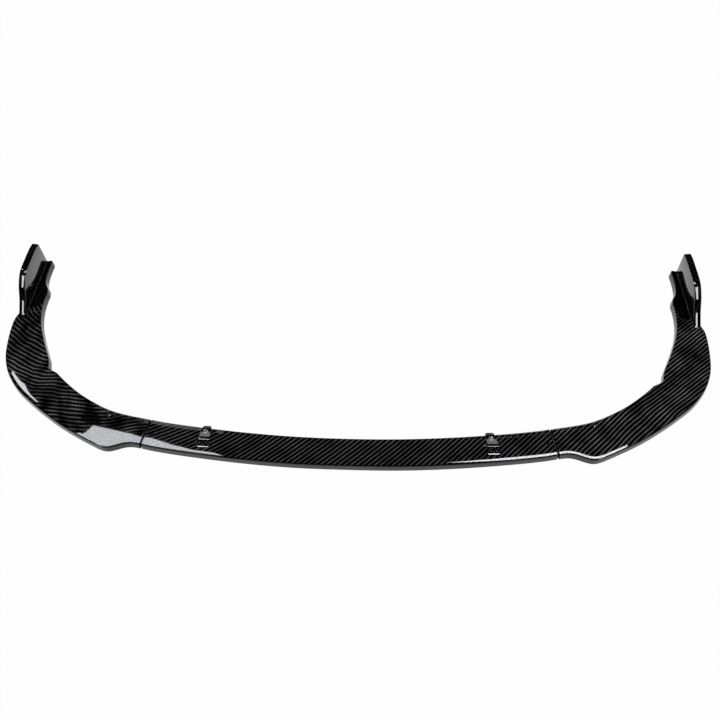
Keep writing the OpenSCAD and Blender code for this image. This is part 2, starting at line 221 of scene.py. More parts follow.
def nose_curve():
    """The nose from the ground up over its rounded edge to the flat."""
    run = np.concatenate([np.linspace(0, 0.8, 3), np.linspace(0.8, 6.0, 7)[1:],
                          np.linspace(6.0, 9.6, 13)[1:], np.linspace(9.6, 14, 7)[1:]])
    step = np.diff(run)
    tilt = np.radians(looked_up(NOSE_TILTS, (run[1:] + run[:-1]) / 2))
    x = np.concatenate([[0], np.cumsum(step * np.cos(tilt))])
    z = LIP_HEIGHT - np.concatenate([[0], np.cumsum(step * np.sin(tilt))])
    front = np.linspace(z[-1], FRONT_TOE, 5)[1:]
    slope = math.tan(math.radians(FRONT_TILT))
    x = np.concatenate([x, x[-1] + (z[-1] - front) / slope])
    z = np.concatenate([z, front])
    edge = x[-1] + FRONT_TOE / slope
    upper = np.column_stack([edge - x, z])[::-1]
    return np.vstack([bend((0.8, 0), (0, 0), upper[0], 4)[:-1], upper])


def skin_outside(width):
    """The section's outer side, from the lower front edge over the top to the lower rear edge."""
    nose = nose_curve()
    flat = np.linspace(nose[-1][0], width - 12.0, 12)[1:-1]
    flat = np.concatenate([flat, [width - 10.8, width - 10.3]])
    flat = np.column_stack([flat, np.full(len(flat), LIP_HEIGHT)])
    # the bead rises from a crisp foot to a narrow crest: distance from the rear edge, height over the flat
    ramp = [(BEAD_RUN - k, BEAD_RAMP * k) for k in (0, 0.1, 1.4, 3, 4.6, 6.2)]
    crest = bend((3.8, BEAD_RISE - 0.12), (2.9, BEAD_RISE + 0.06), (1.9, BEAD_RISE - 0.3), 5)
    fall = [(1.4, 1.1), (1.1, 0.2), (0.9, -1.2), (0.8, -2.5)]
    bead = np.vstack([ramp, crest, fall])
    bead = np.column_stack([width - bead[:, 0], LIP_HEIGHT + bead[:, 1]])
    wall = [(width - 0.55, 0.6 * LIP_HEIGHT), (width - 0.25, 0.25 * LIP_HEIGHT)]
    heel = bend((width - 0.1, 0.9), (width, 0), (width - 0.8, 0), 4)
    return np.vstack([nose, flat, bead, wall, heel])


def skin_inside(width):
    """The section's hollow side, from the front edge under the top to the rear edge."""
    front, rear = SKIN + NOSE_SLOPE, width - SKIN
    return np.array([
        (SKIN, 0), (SKIN + 0.3 * NOSE_SLOPE, 0.3 * LIP_HEIGHT), (SKIN + 0.6 * NOSE_SLOPE, 0.55 * UNDER),
        (SKIN + 0.8 * NOSE_SLOPE, 0.8 * UNDER), (front + 0.6, 0.96 * UNDER), (front + 3, UNDER),
        (width - 19, UNDER), (width - 9, UNDER), (rear - 3, UNDER - 0.4), (rear - 0.9, UNDER - 3), (rear, 0)])


def unrolled(section, width):
    """The distance over the surface that belongs to each point, which is its own distance on the flat."""
    run = np.concatenate([[0], np.cumsum(np.hypot(*np.diff(section, axis=0).T))])
    middle = int(np.argmin(np.abs(section[:, 0] - width / 2) + 100 * (section[:, 1] < UNDER)))
    return run - run[middle] + section[middle, 0]


def outward_of(section):
    """The direction out of the surface at each point of a section."""
    tangent = np.gradient(section, axis=0)
    return np.column_stack([-tangent[:, 1], tangent[:, 0]]) / np.hypot(*tangent.T)[:, None]


def drawn_in(section, depth):
    """The section's outer side moved into the skin by a depth, and kept above the ground."""
    moved = section - outward_of(section) * depth
    return np.column_stack([moved[:, 0], np.maximum(moved[:, 1], 0)])


def with_rounded_ends(line, first, last):
    """Rows added close to a seam, and how far each row's outside is drawn in there."""
    reaches = [0.0, 0.12, 0.4, 0.85, SEAM_ROUND]

    def end_rows(end, inner):
        step = np.array(inner) - np.array(end)
        step /= np.linalg.norm(step[:2])
        return [np.array(end) + step * reach for reach in reaches]

    depth = [SEAM_ROUND - math.sqrt(SEAM_ROUND ** 2 - (SEAM_ROUND - reach) ** 2) for reach in reaches]
    rows, depths = list(line), [0.0] * len(line)
    if first:
        rows, depths = end_rows(line[0], line[1]) + rows[1:], depth + depths[1:]
    if last:
        rows, depths = rows[:-1] + end_rows(line[-1], line[-2])[::-1], depths[:-1] + depth[::-1]
    return np.array(rows), depths


# Meshes


def new_object(name, data):
    """An object in the scene."""
    made = bpy.data.objects.new(name, data)
    bpy.context.scene.collection.objects.link(made)
    return made


def ring_faces(count, size):
    """The faces between rings of points, where each ring is closed on itself."""
    return [(i * size + j, i * size + k, (i + 1) * size + k, (i + 1) * size + j)
            for i in range(count - 1) for j in range(size) for k in [(j + 1) % size]]


def end_faces(count, size):
    """The two faces that close the first and the last ring."""
    return [tuple(range(size))[::-1], tuple((count - 1) * size + j for j in range(size))]


class Part:
    """Points, faces, weave places and finishes of one piece, collected before its mesh is made."""

    def __init__(self):
        self.points, self.faces, self.weave, self.finish, self.fade = [], [], [], [], []

    def add(self, points, faces, finish=0, weave=None, fade=0.0):
        """Adds faces with one finish, or one each. fade says how far the weave is darkened as painted shade."""
        start = len(self.points)
        points = np.array(points, float)
        self.points += [tuple(point) for point in points]
        places = points[:, :2] if weave is None else np.array(weave, float)
        self.weave += [tuple(spot) for spot in places]
        self.fade += list(np.broadcast_to(fade, len(points)))
        self.faces += [tuple(start + i for i in face) for face in faces]
        self.finish += finish if isinstance(finish, list) else [finish] * len(faces)

    def mesh(self, name, finishes, mirror=False):
        """Makes the piece in metres, on the right side or mirrored to the left."""
        points = np.array(self.points) * MM
        faces = self.faces
        if mirror:
            points[:, 0] *= -1
            faces = [face[::-1] for face in faces]
        mesh = bpy.data.meshes.new(name)
        mesh.from_pydata([tuple(point) for point in points], [], faces)
        for finish in finishes:
            mesh.materials.append(finish)
        mesh.polygons.foreach_set("material_index", self.finish)
        corners = np.zeros(len(mesh.loops), np.int32)
        mesh.loops.foreach_get("vertex_index", corners)
        places = np.array(self.weave) * MM
        layer = mesh.uv_layers.new(name="weave_map")
        layer.data.foreach_set("uv", places[corners].astype(np.float32).ravel())
        # how far painted shade darkens the weave, per point
        painted_shade = mesh.attributes.new("painted_shade", "FLOAT", "POINT")
        painted_shade.data.foreach_set("value", np.array(self.fade, np.float32))
        mesh.update()
        mesh.shade_smooth()
        mesh.set_sharp_from_angle(angle=SHARP_EDGE)
        return new_object(name, mesh)


def block(part, corner, along, across, up):
    """A closed block from one corner and three edges."""
    c, a, b, u = (np.array(v, float) for v in (corner, along, across, up))
    points = [c, c + a, c + a + b, c + b, c + u, c + a + u, c + a + b + u, c + b + u]
    faces = [(0, 3, 2, 1), (4, 5, 6, 7), (0, 1, 5, 4), (1, 2, 6, 5), (2, 3, 7, 6), (3, 0, 4, 7)]
    part.add(points, faces, UNDERSIDE)


def turned(part, profile, centre=(0, 0, 0), matrix=None, steps=40, finish=0):
    """A round form turned about a vertical line from (radius, height) points: closed at its ends, or a ring."""
    angles = np.linspace(0, FULL, steps, endpoint=False)
    points = np.array([(r * math.cos(a), r * math.sin(a), z) for r, z in profile for a in angles])
    points = points + np.array(centre)
    if matrix is not None:
        points = np.array([matrix @ Vector(point) for point in points])
    count = len(profile)
    faces = ring_faces(count, steps)
    if tuple(profile[0]) == tuple(profile[-1]):
        size = (count - 1) * steps
        faces = [tuple(i % size for i in face) for face in faces]
        points = points[:size]
    else:
        faces += end_faces(count, steps)
    part.add(points, faces, finish)


# The blade


def loft(part, line, weave, painted_shade=None, seams=(True, False)):
    """The moulded shell through the rows, open below. weave(along, across, x, y) gives weave places."""
    line, depths = with_rounded_ends(line, *seams)
    rings, places, fades, outer = [], [], [], 0
    for row, along, depth in zip(line, length_along(line), depths):
        start, direction, width = row_frame(row)
        outside, inside = skin_outside(width), skin_inside(width)[::-1]
        outer = len(outside)
        section = np.vstack([drawn_in(outside, depth) if depth else outside, inside])
        rings.append(stood_on_row(start, direction, section))
        # painted shade: the weave is darkened on the nose's front face
        fades += [np.interp(outside[:, 0], (5.6, 6.4), (NOSE_SHADE, 0)), np.zeros(len(inside))]
        over = np.concatenate([unrolled(outside, width), inside[:, 0]])
        flat = start + direction * over[:, None]
        places.append(weave(np.full(len(over), along), over - width / 2, flat[:, 0], flat[:, 1]))
    count, size = len(rings), len(rings[0])
    finish = []
    for i in range(count - 1):
        if depths[i] or depths[i + 1]:
            finish += [CUT_EDGE] * size
        else:
            finish += [WEAVE] * (outer - 1) + [UNDERSIDE] * (size - outer + 1)
    points, fade = np.vstack(rings), np.concatenate(fades)
    # painted shade beside the fin joins the weave's darkening here
    if painted_shade is not None:
        fade = np.maximum(fade, painted_shade(points[:, 0], points[:, 1]))
    faces = ring_faces(count, size) + end_faces(count, size)
    part.add(points, faces, finish + [UNDERSIDE] * 2, np.vstack(places), fade)


def ribs(part, line, shares):
    """Upright ribs under the skin, each along one row."""
    front = SKIN + NOSE_SLOPE - 1
    for share in shares:
        start, direction, width = row_frame(line[round(share * (len(line) - 1))])
        side = np.array([-direction[1], direction[0]]) * RIB_WALL
        corner = start + direction * front - side / 2
        block(part, (*corner, RIB_LIFT), (*(direction * (width - front - SKIN)), 0), (*side, 0),
              (0, 0, UNDER - RIB_LIFT + RIB_SINK))


def seam_flange(part):
    """The strip behind the groove: it follows the skin's hollow side and closes the view through the seam, a
    dark sheet that stands in for the shade inside the shell.
    """
    near, far = np.array(placed_row(CORNER_ROWS[0])), np.array(placed_row(CENTRE_ROWS[-2]))
    step = (far - near) / np.linalg.norm(far[:2] - near[:2])
    rings = []
    for reach, clear in ((-FLANGE_REACH, -0.6), (-SEAM_ROUND, FLANGE_CLEAR), (FLANGE_REACH, FLANGE_CLEAR)):
        start, direction, width = row_frame(near + step * reach)
        section = skin_inside(width)
        inward = -outward_of(section)
        ring = np.vstack([section + inward * clear, (section + inward * (clear + FLANGE_THICK))[::-1]])
        ring = np.column_stack([ring[:, 0], np.maximum(ring[:, 1], 0.4)])
        rings.append(stood_on_row(start, direction, ring))
    faces = ring_faces(len(rings), len(rings[0])) + end_faces(len(rings), len(rings[0]))
    part.add(np.vstack(rings), [face[::-1] for face in faces], UNDERSIDE)


def tongue(part):
    """The tongue below the seam, with the boss that takes the seam screw."""
    row = placed_row(CORNER_ROWS[0])
    direction = row_frame(row)[1]
    side = np.array([-direction[1], direction[0]])
    middle = (np.array(row[:2]) + np.array(row[2:])) / 2
    z = UNDER - TONGUE_CLEAR - TONGUE_THICK
    corner = middle - direction * TONGUE_WIDTH / 2 + side * TONGUE_REACH
    along = -side * (TONGUE_REACH + TONGUE_BEHIND)
    block(part, (*corner, z), (*along, 0), (*(direction * TONGUE_WIDTH), 0), (0, 0, TONGUE_THICK))
    boss = SCREW_RADIUS + SKIN
    turned(part, [(0, RIB_LIFT), (boss, RIB_LIFT), (boss, z + 1), (0, z + 1)], (*place(*SEAM_SCREW), 0),
           finish=UNDERSIDE)


def screw_holes(part):
    """A boss under the skin and a steel eyelet pressed into the rim, at each bumper screw."""
    inner, top = SCREW_HOLE_RADIUS, UNDER + RIB_SINK
    boss = [(inner, 4), (BOSS_RADIUS, 4), (BOSS_RADIUS, top), (inner, top), (inner, 4)]
    eyelet = [(inner, -2.0), (2.8, -2.0), (2.8, -0.1), (3.3, 0.0), (3.4, 0.2), (3.2, 0.4), (2.85, 0.5),
              (2.6, 0.35), (inner, 0.0), (inner, -2.0)]
    for spot in SCREW_HOLES:
        x, y = place(*spot)
        turned(part, boss, (x, y, 0), finish=UNDERSIDE)
        turned(part, eyelet, (x, y, LIP_HEIGHT), steps=32, finish=STEEL)


# The fin


def fin_frame():
    """Origin, run, outward side and upward line of the right fin's inner face."""
    front, rear = place(*FIN_FRONT), place(*FIN_REAR)
    run = (rear - front) / np.linalg.norm(rear - front)
    out, up = np.array([run[1], -run[0], 0.0]), np.array([0, 0, 1.0])
    lean_up = up * math.cos(FIN_LEAN) - out * math.sin(FIN_LEAN)
    lean_out = out * math.cos(FIN_LEAN) + up * math.sin(FIN_LEAN)
    return np.array([*front, 0.0]), np.array([*run, 0.0]), lean_out, lean_up


def fin_outline():
    """The fin's outline seen from the side, smooth along its top and front."""
    scale = LIP_DEPTH / DRAWN_DEPTH
    top = [(u * scale, LIP_HEIGHT + share * (FIN_TOP - LIP_HEIGHT)) for u, share in FIN_LINE]
    top = smooth_rows(top, 9)[:-1]
    end, run = top[-1], FIN_RUN * scale
    rear = bend(end, (run - 0.2, end[1] - 0.6), (run - 0.6, end[1] - 3.2), 6)[1:]
    return np.vstack([[(FIN_LINE[0][0] * scale, 0.0)], top, rear, [(run, 0.0)]])


def rim_round(radius, steps):
    """A quarter round: how far it lies from one side and from the other."""
    return [(radius * (1 - math.sin(a)), radius * (1 - math.cos(a))) for a in np.linspace(0, QUARTER, steps)]


def fin_plate(part):
    """The fin as a plate with rounded rims: its outline, drawn in by steps towards both faces."""
    origin, run, out, up = fin_frame()
    line = fin_outline()
    tangent = np.roll(line, -1, 0) - np.roll(line, 1, 0)
    normal = np.column_stack([tangent[:, 1], -tangent[:, 0]])
    normal /= np.maximum(np.linalg.norm(normal, axis=1), 1e-9)[:, None]
    normal[0], normal[-1] = (0, 0), (0, 0)
    inner, outer = rim_round(FIN_INNER_RIM, 5), rim_round(FIN_OUTER_RIM, 6)
    levels = inner + [(0.0, t) for t in np.linspace(FIN_INNER_RIM, FIN_THICK - FIN_OUTER_RIM, 9)[1:-1]]
    levels += [(inset, FIN_THICK - t) for t, inset in outer]
    # the rim is gently domed from face to face
    levels = [(inset + FIN_DOME * (2 * t / FIN_THICK - 1) ** 2, t) for inset, t in levels]
    points, places = [], []
    for inset, t in levels:
        for (u, v), inward in zip(line, normal):
            points.append(origin + run * (u + inward[0] * inset) + up * (v + inward[1] * inset) + out * t)
            places.append((u, v - t if t < FIN_THICK * 0.9 else v))
    points, places = np.array(points), np.array(places)
    points[:, 1] = np.minimum(points[:, 1], LIP_DEPTH / 2)
    count, size = len(levels), len(line)
    finish = [GLOSS_BLACK] * (3 * size) + [WEAVE] * ((count - 4) * size) + [GLOSS_BLACK, WEAVE]
    # painted shade darkens the weave all over the fin
    part.add(points, ring_faces(count, size) + end_faces(count, size), finish, straight_weave(*places.T),
             FIN_WEAVE_SHADE)


def fin_fillet(part):
    """The small fillet where the fin's inner face meets the blade."""
    origin, run, out, _ = fin_frame()
    section = [(-1.5, -1.5), (FIN_FILLET, -1.5)] + rim_round(FIN_FILLET, 6) + [(-1.5, FIN_FILLET)]
    ends = np.linspace(-2, FIN_RUN - 1.0, 24)
    inward = -np.array([out[0], out[1], 0]) / math.hypot(out[0], out[1])
    points = [origin + run * u + inward * a + np.array([0, 0, LIP_HEIGHT + b])
              for u in ends for a, b in section]
    part.add(points, ring_faces(len(ends), len(section)) + end_faces(len(ends), len(section)), JOINT)


# Brackets and fasteners


def front_at(x):
    """Where the blade's lower front edge lies at x."""
    return float(looked_up([placed_row(row)[:2] for row in CENTRE_ROWS], x))


def bracket_matrix():
    """The right bracket's own frame: origin in the middle of its foot's front end, y back along the foot."""
    x = BRACKET_X * LIP_WIDTH / DRAWN_WIDTH
    turn = math.atan2(front_at(x + 10) - front_at(x - 10), 20) - BRACKET_TURN
    return Matrix.Translation((x, front_at(x) + BRACKET_SET, SEAT_TOP)) @ Matrix.Rotation(turn, 4, "Z")


def upright_matrix():
    """The upright's frame: x across, y up along it, z out of its front face, zero on its rear face."""
    return (bracket_matrix() @ Matrix.Translation((0, FOOT_LENGTH, SHEET + BEND_RADIUS))
            @ Matrix.Rotation(QUARTER - UPRIGHT_LEAN, 4, "X")
            @ Matrix.Translation((0, 0, -BEND_RADIUS - SHEET)))


def bolt_matrix(height=0.0):
    """The frame of the bolt through the upright, at a height over its rear face."""
    return upright_matrix() @ Matrix.Translation((slanted(BOLT_RISE), BOLT_RISE, height))


def slanted(rise):
    """How far the upright's middle has moved inward at a height above the bend."""
    return -rise * math.tan(UPRIGHT_SLANT)


def bend_length():
    return (QUARTER - UPRIGHT_LEAN) * (BEND_RADIUS + SHEET / 2)


def sheet_point(x, s, t):
    """A point of the flat sheet, s from the foot's front end and t from its lower face, after bending."""
    if s <= FOOT_LENGTH:
        # the foot's front end is eased down a little
        return (x, s, t - max(FOOT_EASE - s, 0) * FOOT_EASE_SLOPE * t / SHEET)
    radius = BEND_RADIUS + SHEET - t
    angle = min((s - FOOT_LENGTH) / bend_length(), 1) * (QUARTER - UPRIGHT_LEAN)
    y = FOOT_LENGTH + radius * math.sin(angle)
    z = SHEET + BEND_RADIUS - radius * math.cos(angle)
    # the upright is bowed back by a few degrees from its lower to its upper end
    rest, steps = max(s - FOOT_LENGTH - bend_length(), 0), 8
    for k in range(steps):
        bow = looked_up(((0, -3), (0.42, -3), (0.5, 5), (1, 6)), (k + 0.5) / steps * rest / UPRIGHT_LENGTH)
        lean = UPRIGHT_LEAN + math.radians(bow)
        y += rest / steps * math.sin(lean)
        z += rest / steps * math.cos(lean)
    return (x, y, z)


def bracket_rows():
    """The bracket's flat pattern: distance along it, half its width there, and the place of its middle."""
    foot, bent, top = FOOT_WIDTH / 2, BEND_WIDTH / 2, UPRIGHT_WIDTH / 2
    corner, neck = FOOT_CORNER, FOOT_LENGTH - 2 - NECK_ROUND
    quarter = np.linspace(0, QUARTER, 7)
    rows = [(corner * (1 - math.cos(a)), foot - corner * (1 - math.sin(a)), 0) for a in quarter]
    rows += [(s, foot, 0) for s in (9, 14, neck)]
    rows.append((FOOT_EASE, foot - corner + corner * math.sin(math.acos(1 - FOOT_EASE / corner)), 0))
    rows.sort(key=lambda row: row[0])
    rows += [(neck + NECK_ROUND * math.sin(a), foot - NECK_ROUND * (1 - math.cos(a)), 0) for a in quarter[1:]]
    rows += [(18.05, bent + 0.6, 0), (18.4, bent + 0.15, 0), (19.2, bent, 0)]
    flat_to = FOOT_LENGTH + bend_length()
    rows += [(s, bent, 0) for s in np.linspace(FOOT_LENGTH, flat_to, 9)]
    straight_to = UPRIGHT_LENGTH - UPRIGHT_CORNER
    rises = [(rise, 0) for rise in np.linspace(0, straight_to, 9)[1:]]
    rises += [(straight_to + UPRIGHT_CORNER * math.sin(a), UPRIGHT_CORNER * (1 - math.cos(a)))
              for a in quarter[1:]]
    rows += [(flat_to + rise, bent + (top - bent) * rise / UPRIGHT_LENGTH - inset, slanted(rise))
             for rise, inset in rises]
    return rows


def bracket(part):
    """Bent sheet with rounded corners: rows of points over its flat pattern, then bent."""
    rows, across = bracket_rows(), [-1, -0.8, -0.4, 0, 0.4, 0.8, 1]
    matrix, c = bracket_matrix(), len(across)
    n = len(rows) * c
    points = [matrix @ Vector(sheet_point(middle + half * a, s, t))
              for t in (SHEET, 0) for s, half, middle in rows for a in across]
    faces = []
    for i in range(len(rows) - 1):
        for j in range(c - 1):
            upper = (i * c + j, i * c + j + 1, (i + 1) * c + j + 1, (i + 1) * c + j)
            faces += [upper, tuple(n + v for v in upper[::-1])]
        for j, flip in ((0, False), (c - 1, True)):
            side = (i * c + j, (i + 1) * c + j, n + (i + 1) * c + j, n + i * c + j)
            faces.append(side[::-1] if flip else side)
    for i, flip in ((0, False), (len(rows) - 1, True)):
        for j in range(c - 1):
            end = (i * c + j, i * c + j + 1, n + i * c + j + 1, n + i * c + j)
            faces.append(end[::-1] if flip else end)
    part.add(points, faces)


def hexagon(part, matrix, low, high, hole=None):
    """A hexagonal head or nut with its upper corners turned off, from low to high."""
    steps = 72
    angles = np.linspace(0, FULL, steps, endpoint=False)
    edge = HEX_FLATS / 2 / np.cos((angles + math.pi / 6) % (math.pi / 3) - math.pi / 6)
    flat = HEX_FLATS / 2 - 0.35
    cut = np.maximum(edge - flat, 0) * math.tan(math.radians(32))
    loops = [(edge, low), (edge, high - cut), (flat, high), (flat * 0.6, high)]
    if hole:
        loops = [(hole, low)] + loops + [(hole, high)]
    points = [matrix @ Vector((r * math.cos(a), r * math.sin(a), z)) for radius, level in loops
              for r, a, z in zip(np.broadcast_to(radius, steps), angles, np.broadcast_to(level, steps))]
    faces = ring_faces(len(loops), steps)
    if hole:
        last = (len(loops) - 1) * steps
        faces += [(last + j, last + (j + 1) % steps, (j + 1) % steps, j) for j in range(steps)]
    else:
        faces += end_faces(len(loops), steps)
    part.add(points, faces)


def bolt(part):
    """A flanged bolt in the upright, with its thread out at the back."""
    flange = [(0, 0), (BOLT_FLANGE, 0), (BOLT_FLANGE, 0.7), (6.3, 1.0), (5.6, 1.35), (4.2, 1.9), (0, 1.9)]
    turned(part, flange, matrix=bolt_matrix(SHEET))
    hexagon(part, bolt_matrix(), SHEET + 1.2, SHEET + 5.0)
    thread, z = [(0, -BOLT_REACH), (1.9, -BOLT_REACH)], 0.4 - BOLT_REACH
    while z < SHEET - 0.4:
        thread += [(THREAD_CREST, z), (THREAD_ROOT, z + THREAD_PITCH / 2)]
        z += THREAD_PITCH
    turned(part, thread + [(2.3, SHEET), (0, SHEET)], matrix=bolt_matrix())


def nut(part):
    """The flanged nut behind the upright."""
    hexagon(part, bolt_matrix() @ Matrix.Rotation(math.pi, 4, "X"), 0.6, NUT_THICK, hole=NUT_BORE)
    flange = [(NUT_BORE, -1.0), (NUT_FLANGE, -1.0), (NUT_FLANGE, 0.0), (NUT_BORE, 0.0), (NUT_BORE, -1.0)]
    turned(part, flange, matrix=bolt_matrix())


def rivets(part):
    """Two rivets through the foot: a domed head above, a shank and a flat head below the skin."""
    low = SEAT_DEPTH - SKIN
    dome = [(3.45, 0), (3.4, 0.12), (3.0, 0.5), (2.2, 0.9), (1.2, 1.15), (0, 1.2)]
    shank = [(0, low - 1.2), (RIVET_HEAD, low - 1.2), (RIVET_HEAD, low), (RIVET_RADIUS, low),
             (RIVET_RADIUS, SHEET), (0, SHEET)]
    for side in (-RIVET_SIDE, RIVET_SIDE):
        matrix = bracket_matrix() @ Matrix.Translation((side, FOOT_LENGTH / 2, 0))
        turned(part, dome, matrix=matrix @ Matrix.Translation((0, 0, SHEET)))
        turned(part, shank, matrix=matrix)


def seam_screw(part):
    """The small round-headed screw near a seam, with its recess and its shank."""
    x, y = place(*SEAM_SCREW)
    head = [(0, 0), (4.4, 0), (4.5, 0.2), (4.4, 0.6), (4.1, 1.1), (3.6, 1.6), (2.9, 2.05), (2.1, 2.35),
            (1.35, 2.5), (1.1, 1.4), (0, 1.2)]
    shank = [(0, RIB_LIFT + 1), (1.6, RIB_LIFT + 1.2), (SCREW_RADIUS, RIB_LIFT + 2.4),
             (SCREW_RADIUS, SEAT_TOP), (0, SEAT_TOP)]
    turned(part, head, (x, y, SEAT_TOP))
    turned(part, shank, (x, y, 0))


# The weave's lie on each section: along its diagonal lines, and across them


def straight_weave(x, y):
    """Film laid straight over the part."""
    c, s = math.cos(WEAVE_ANGLE), math.sin(WEAVE_ANGLE)
    return np.stack([x * c + y * s, -x * s + y * c], -1)


def right_weave(_along, _across, x, y):
    """Film laid straight over the corner and stretched a little along the arm."""
    return straight_weave(x, y + ARM_STRETCH * np.maximum(y - ARM_STRETCH_FROM, 0))


def centre_weave(_along, _across, x, y):
    """Film laid on the centre section: its lines lie flatter towards the left seam."""
    s = np.linspace(-540, 540, 1081)
    turn = np.radians(looked_up(CENTRE_TURN, s))
    run, rise = np.interp(x, s, np.cumsum(np.cos(turn))), np.interp(x, s, np.cumsum(np.sin(turn)))
    angle, over = np.interp(x, s, turn), y + CENTRE_FILM_MIDDLE
    return np.stack([run + over * np.sin(angle), -rise + over * np.cos(angle)], -1)


def left_weave(along, across, _x, _y):
    """Film that follows the arm: its lines turn slowly against the arm from the seam to the fin."""
    s = np.linspace(-60, 760, 821)
    turn = np.radians(looked_up(LEFT_TURN, s))
    run = np.interp(along, s, np.concatenate([[0], np.cumsum(np.cos(turn[:-1]))]))
    rise = np.interp(along, s, np.concatenate([[0], np.cumsum(np.sin(turn[:-1]))]))
    angle = np.interp(along, s, turn)
    return np.stack([run - across * np.sin(angle), rise + across * np.cos(angle)], -1)


def painted_fin_shade(x, y):
    """Painted shade: how far the weave is darkened at a place, fully beside the fin where its dark mirror image
    falls on the tab, not at all in front of it.
    """
    inside = np.clip(((y - looked_up(FIN_SHADE, x)) * looked_up(FIN_SHADE_SLOPE, x) + 1.0) / 2.0, 0, 1)
    return np.where(x > FIN_SHADE_FROM, FIN_SHADE_FADE * inside, 0.0)


# Finishes

STRAND_WIDTH, BUMP_DISTANCE = 3.25 * MM, 0.2 * MM
PAINTED_LIGHT_STRAND, QUIET_STRAND = (0.275, 0.277, 0.281), (0.2, 0.202, 0.206)
BLACK_STRAND, GREYER_DARK_STRAND = (0.0005, 0.0005, 0.0005), (0.003, 0.003, 0.0032)

# How far the film drifts and how cloudy it is on each section, and its light and dark strands. The sections are
# copies of one weave: the right section's brighter light strands and the left section's greyer dark strands are
# painted light
WEAVE_FINISHES = {
    "carbon_weave_centre": (0.002, 0.3, QUIET_STRAND, BLACK_STRAND),
    "carbon_weave_right": (0.009, 0.5, PAINTED_LIGHT_STRAND, BLACK_STRAND),
    "carbon_weave_left": (0.016, 0.9, QUIET_STRAND, GREYER_DARK_STRAND),
}

# Colour, roughness, grain size in millimetres, unevenness and bump, and what differs from plain plastic
PLAIN_FINISHES = {
    "moulded_underside": ((0.012, 0.012, 0.013), 0.42, 0.8, 0.2, 0.2, {}),
    "gloss_black_face": ((0.003, 0.003, 0.003), 0.4, 1.2, 0.1, 0.01,
                         {"Specular IOR Level": 0.05, "Coat Weight": 1.0, "Coat IOR": 1.8}),
    "bracket_paint": ((0.003, 0.003, 0.003), 0.4, 0.9, 0.15, 0.03,
                      {"Specular IOR Level": 0.05, "Coat Weight": 1.0, "Coat IOR": 2.2}),
    "rivet_black": ((0.006, 0.006, 0.006), 0.55, 0.5, 0.1, 0.05, {}),
    "cut_edge_of_skin": ((0.0015, 0.0015, 0.0015), 0.7, 0.5, 0.1, 0.05, {"Specular IOR Level": 0.05}),
    # the fin's fillet is a lighter grey than the blade and the fin
    "fin_fillet_grey": ((0.045, 0.045, 0.047), 0.6, 0.6, 0.2, 0.05, {}),
    "plated_bolt": ((0.4, 0.4, 0.42), 0.14, 0.5, 0.1, 0.05, {"Metallic": 1.0}),
    "screw_zinc": ((0.05, 0.05, 0.052), 0.14, 0.5, 0.1, 0.05, {"Metallic": 1.0}),
    "bright_steel": ((0.7, 0.7, 0.72), 0.25, 0.5, 0.2, 0.05, {"Metallic": 1.0}),
}


class Nodes:
    """Short calls for making and joining nodes in one tree."""

    def __init__(self, tree):
        self.tree = tree

    def new(self, kind, **values):
        node = self.tree.nodes.new(kind)
        for name, value in values.items():
            setattr(node, name, value)
        return node

    def feed(self, socket, value):
        """Gives a socket another one's output, or a value."""
        if isinstance(value, bpy.types.NodeSocket):
            self.tree.links.new(value, socket)
        else:
            socket.default_value = value

    def feed_all(self, node, values):
        for name, value in values.items():
            self.feed(node.inputs[name], value)

    def math(self, operation, a, b=0.0, c=0.0, clamp=False):
        node = self.new("ShaderNodeMath", operation=operation, use_clamp=clamp)
        for socket, value in zip(node.inputs, (a, b, c)):
            self.feed(socket, value)
        return node.outputs[0]

    def times(self, a, b):
        return self.math("MULTIPLY", a, b)

    def vector(self, operation, a, b):
        node = self.new("ShaderNodeVectorMath", operation=operation)
        self.feed(node.inputs[0], a)
        self.feed(node.inputs["Scale" if operation == "SCALE" else 1], b)
        return node.outputs[0]

    def pick(self, mask, one, other):
        """One value where the mask is 1, the other where it is 0."""
        return self.math("ADD", self.times(mask, one), self.times(self.math("SUBTRACT", 1.0, mask), other))

    def noise(self, where, scale, detail=2.0, roughness=0.5):
        node = self.new("ShaderNodeTexNoise")
        self.feed_all(node, {"Vector": where, "Scale": scale, "Detail": detail, "Roughness": roughness})
        return node.outputs

    def bump(self, height, strength):
        node = self.new("ShaderNodeBump")
        self.feed_all(node, {"Strength": strength, "Distance": BUMP_DISTANCE, "Height": height})
        return node.outputs[0]

    def mixed_shader(self, share, first, second):
        node = self.new("ShaderNodeMixShader")
        for socket, value in zip(node.inputs, (share, first.outputs[0], second.outputs[0])):
            self.feed(socket, value)
        return node


def new_group(name, inputs, outputs):
    """An empty node group with its sockets: kind and value of each input, kind of each output."""
    group = bpy.data.node_groups.new(name, "ShaderNodeTree")
    for title, (kind, value) in inputs.items():
        socket = group.interface.new_socket(name=title, in_out="INPUT", socket_type=f"NodeSocket{kind}")
        if value is not None:
            socket.default_value = value
    for title, kind in outputs.items():
        group.interface.new_socket(name=title, in_out="OUTPUT", socket_type=f"NodeSocket{kind}")
    nodes = Nodes(group)
    return group, nodes, nodes.new("NodeGroupInput").outputs, nodes.new("NodeGroupOutput")


